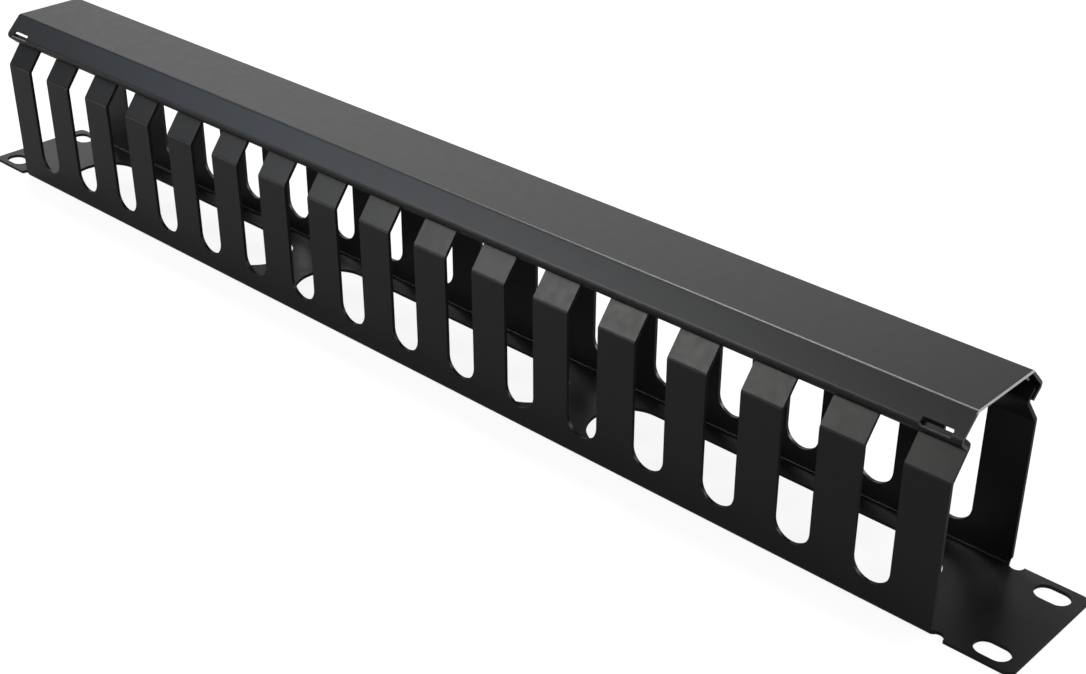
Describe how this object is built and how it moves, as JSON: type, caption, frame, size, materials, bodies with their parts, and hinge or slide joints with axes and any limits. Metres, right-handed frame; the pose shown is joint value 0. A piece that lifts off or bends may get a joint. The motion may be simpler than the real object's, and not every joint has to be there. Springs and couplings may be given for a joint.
{
  "type": "horizontal cable manager",
  "caption": "One-unit rack panel folded from black sheet steel as a finger duct with slotted ears, closed by a clip-on cover with sloping flanges.",
  "frame": {"origin": "middle of the back plate's rear face, which lies flat on the rack's rails", "axes": "+X along the rack's width, +Y across the one-unit height, +Z out of the back plate towards the cover"},
  "size_m": [0.4826, 0.0432, 0.0678],
  "materials": {
    "black_powder_coat": "satin black powder coat, finely textured"
  },
  "bodies": {
    "duct": {"finger_duct": "black_powder_coat"},
    "cover": {"duct_cover": "black_powder_coat"}
  },
  "joints": [
    {"name": "cover_lift", "type": "slide", "parent": "duct", "child": "cover", "axis": [0, 0, 1], "range_m": [0, 0.06]}
  ]
}
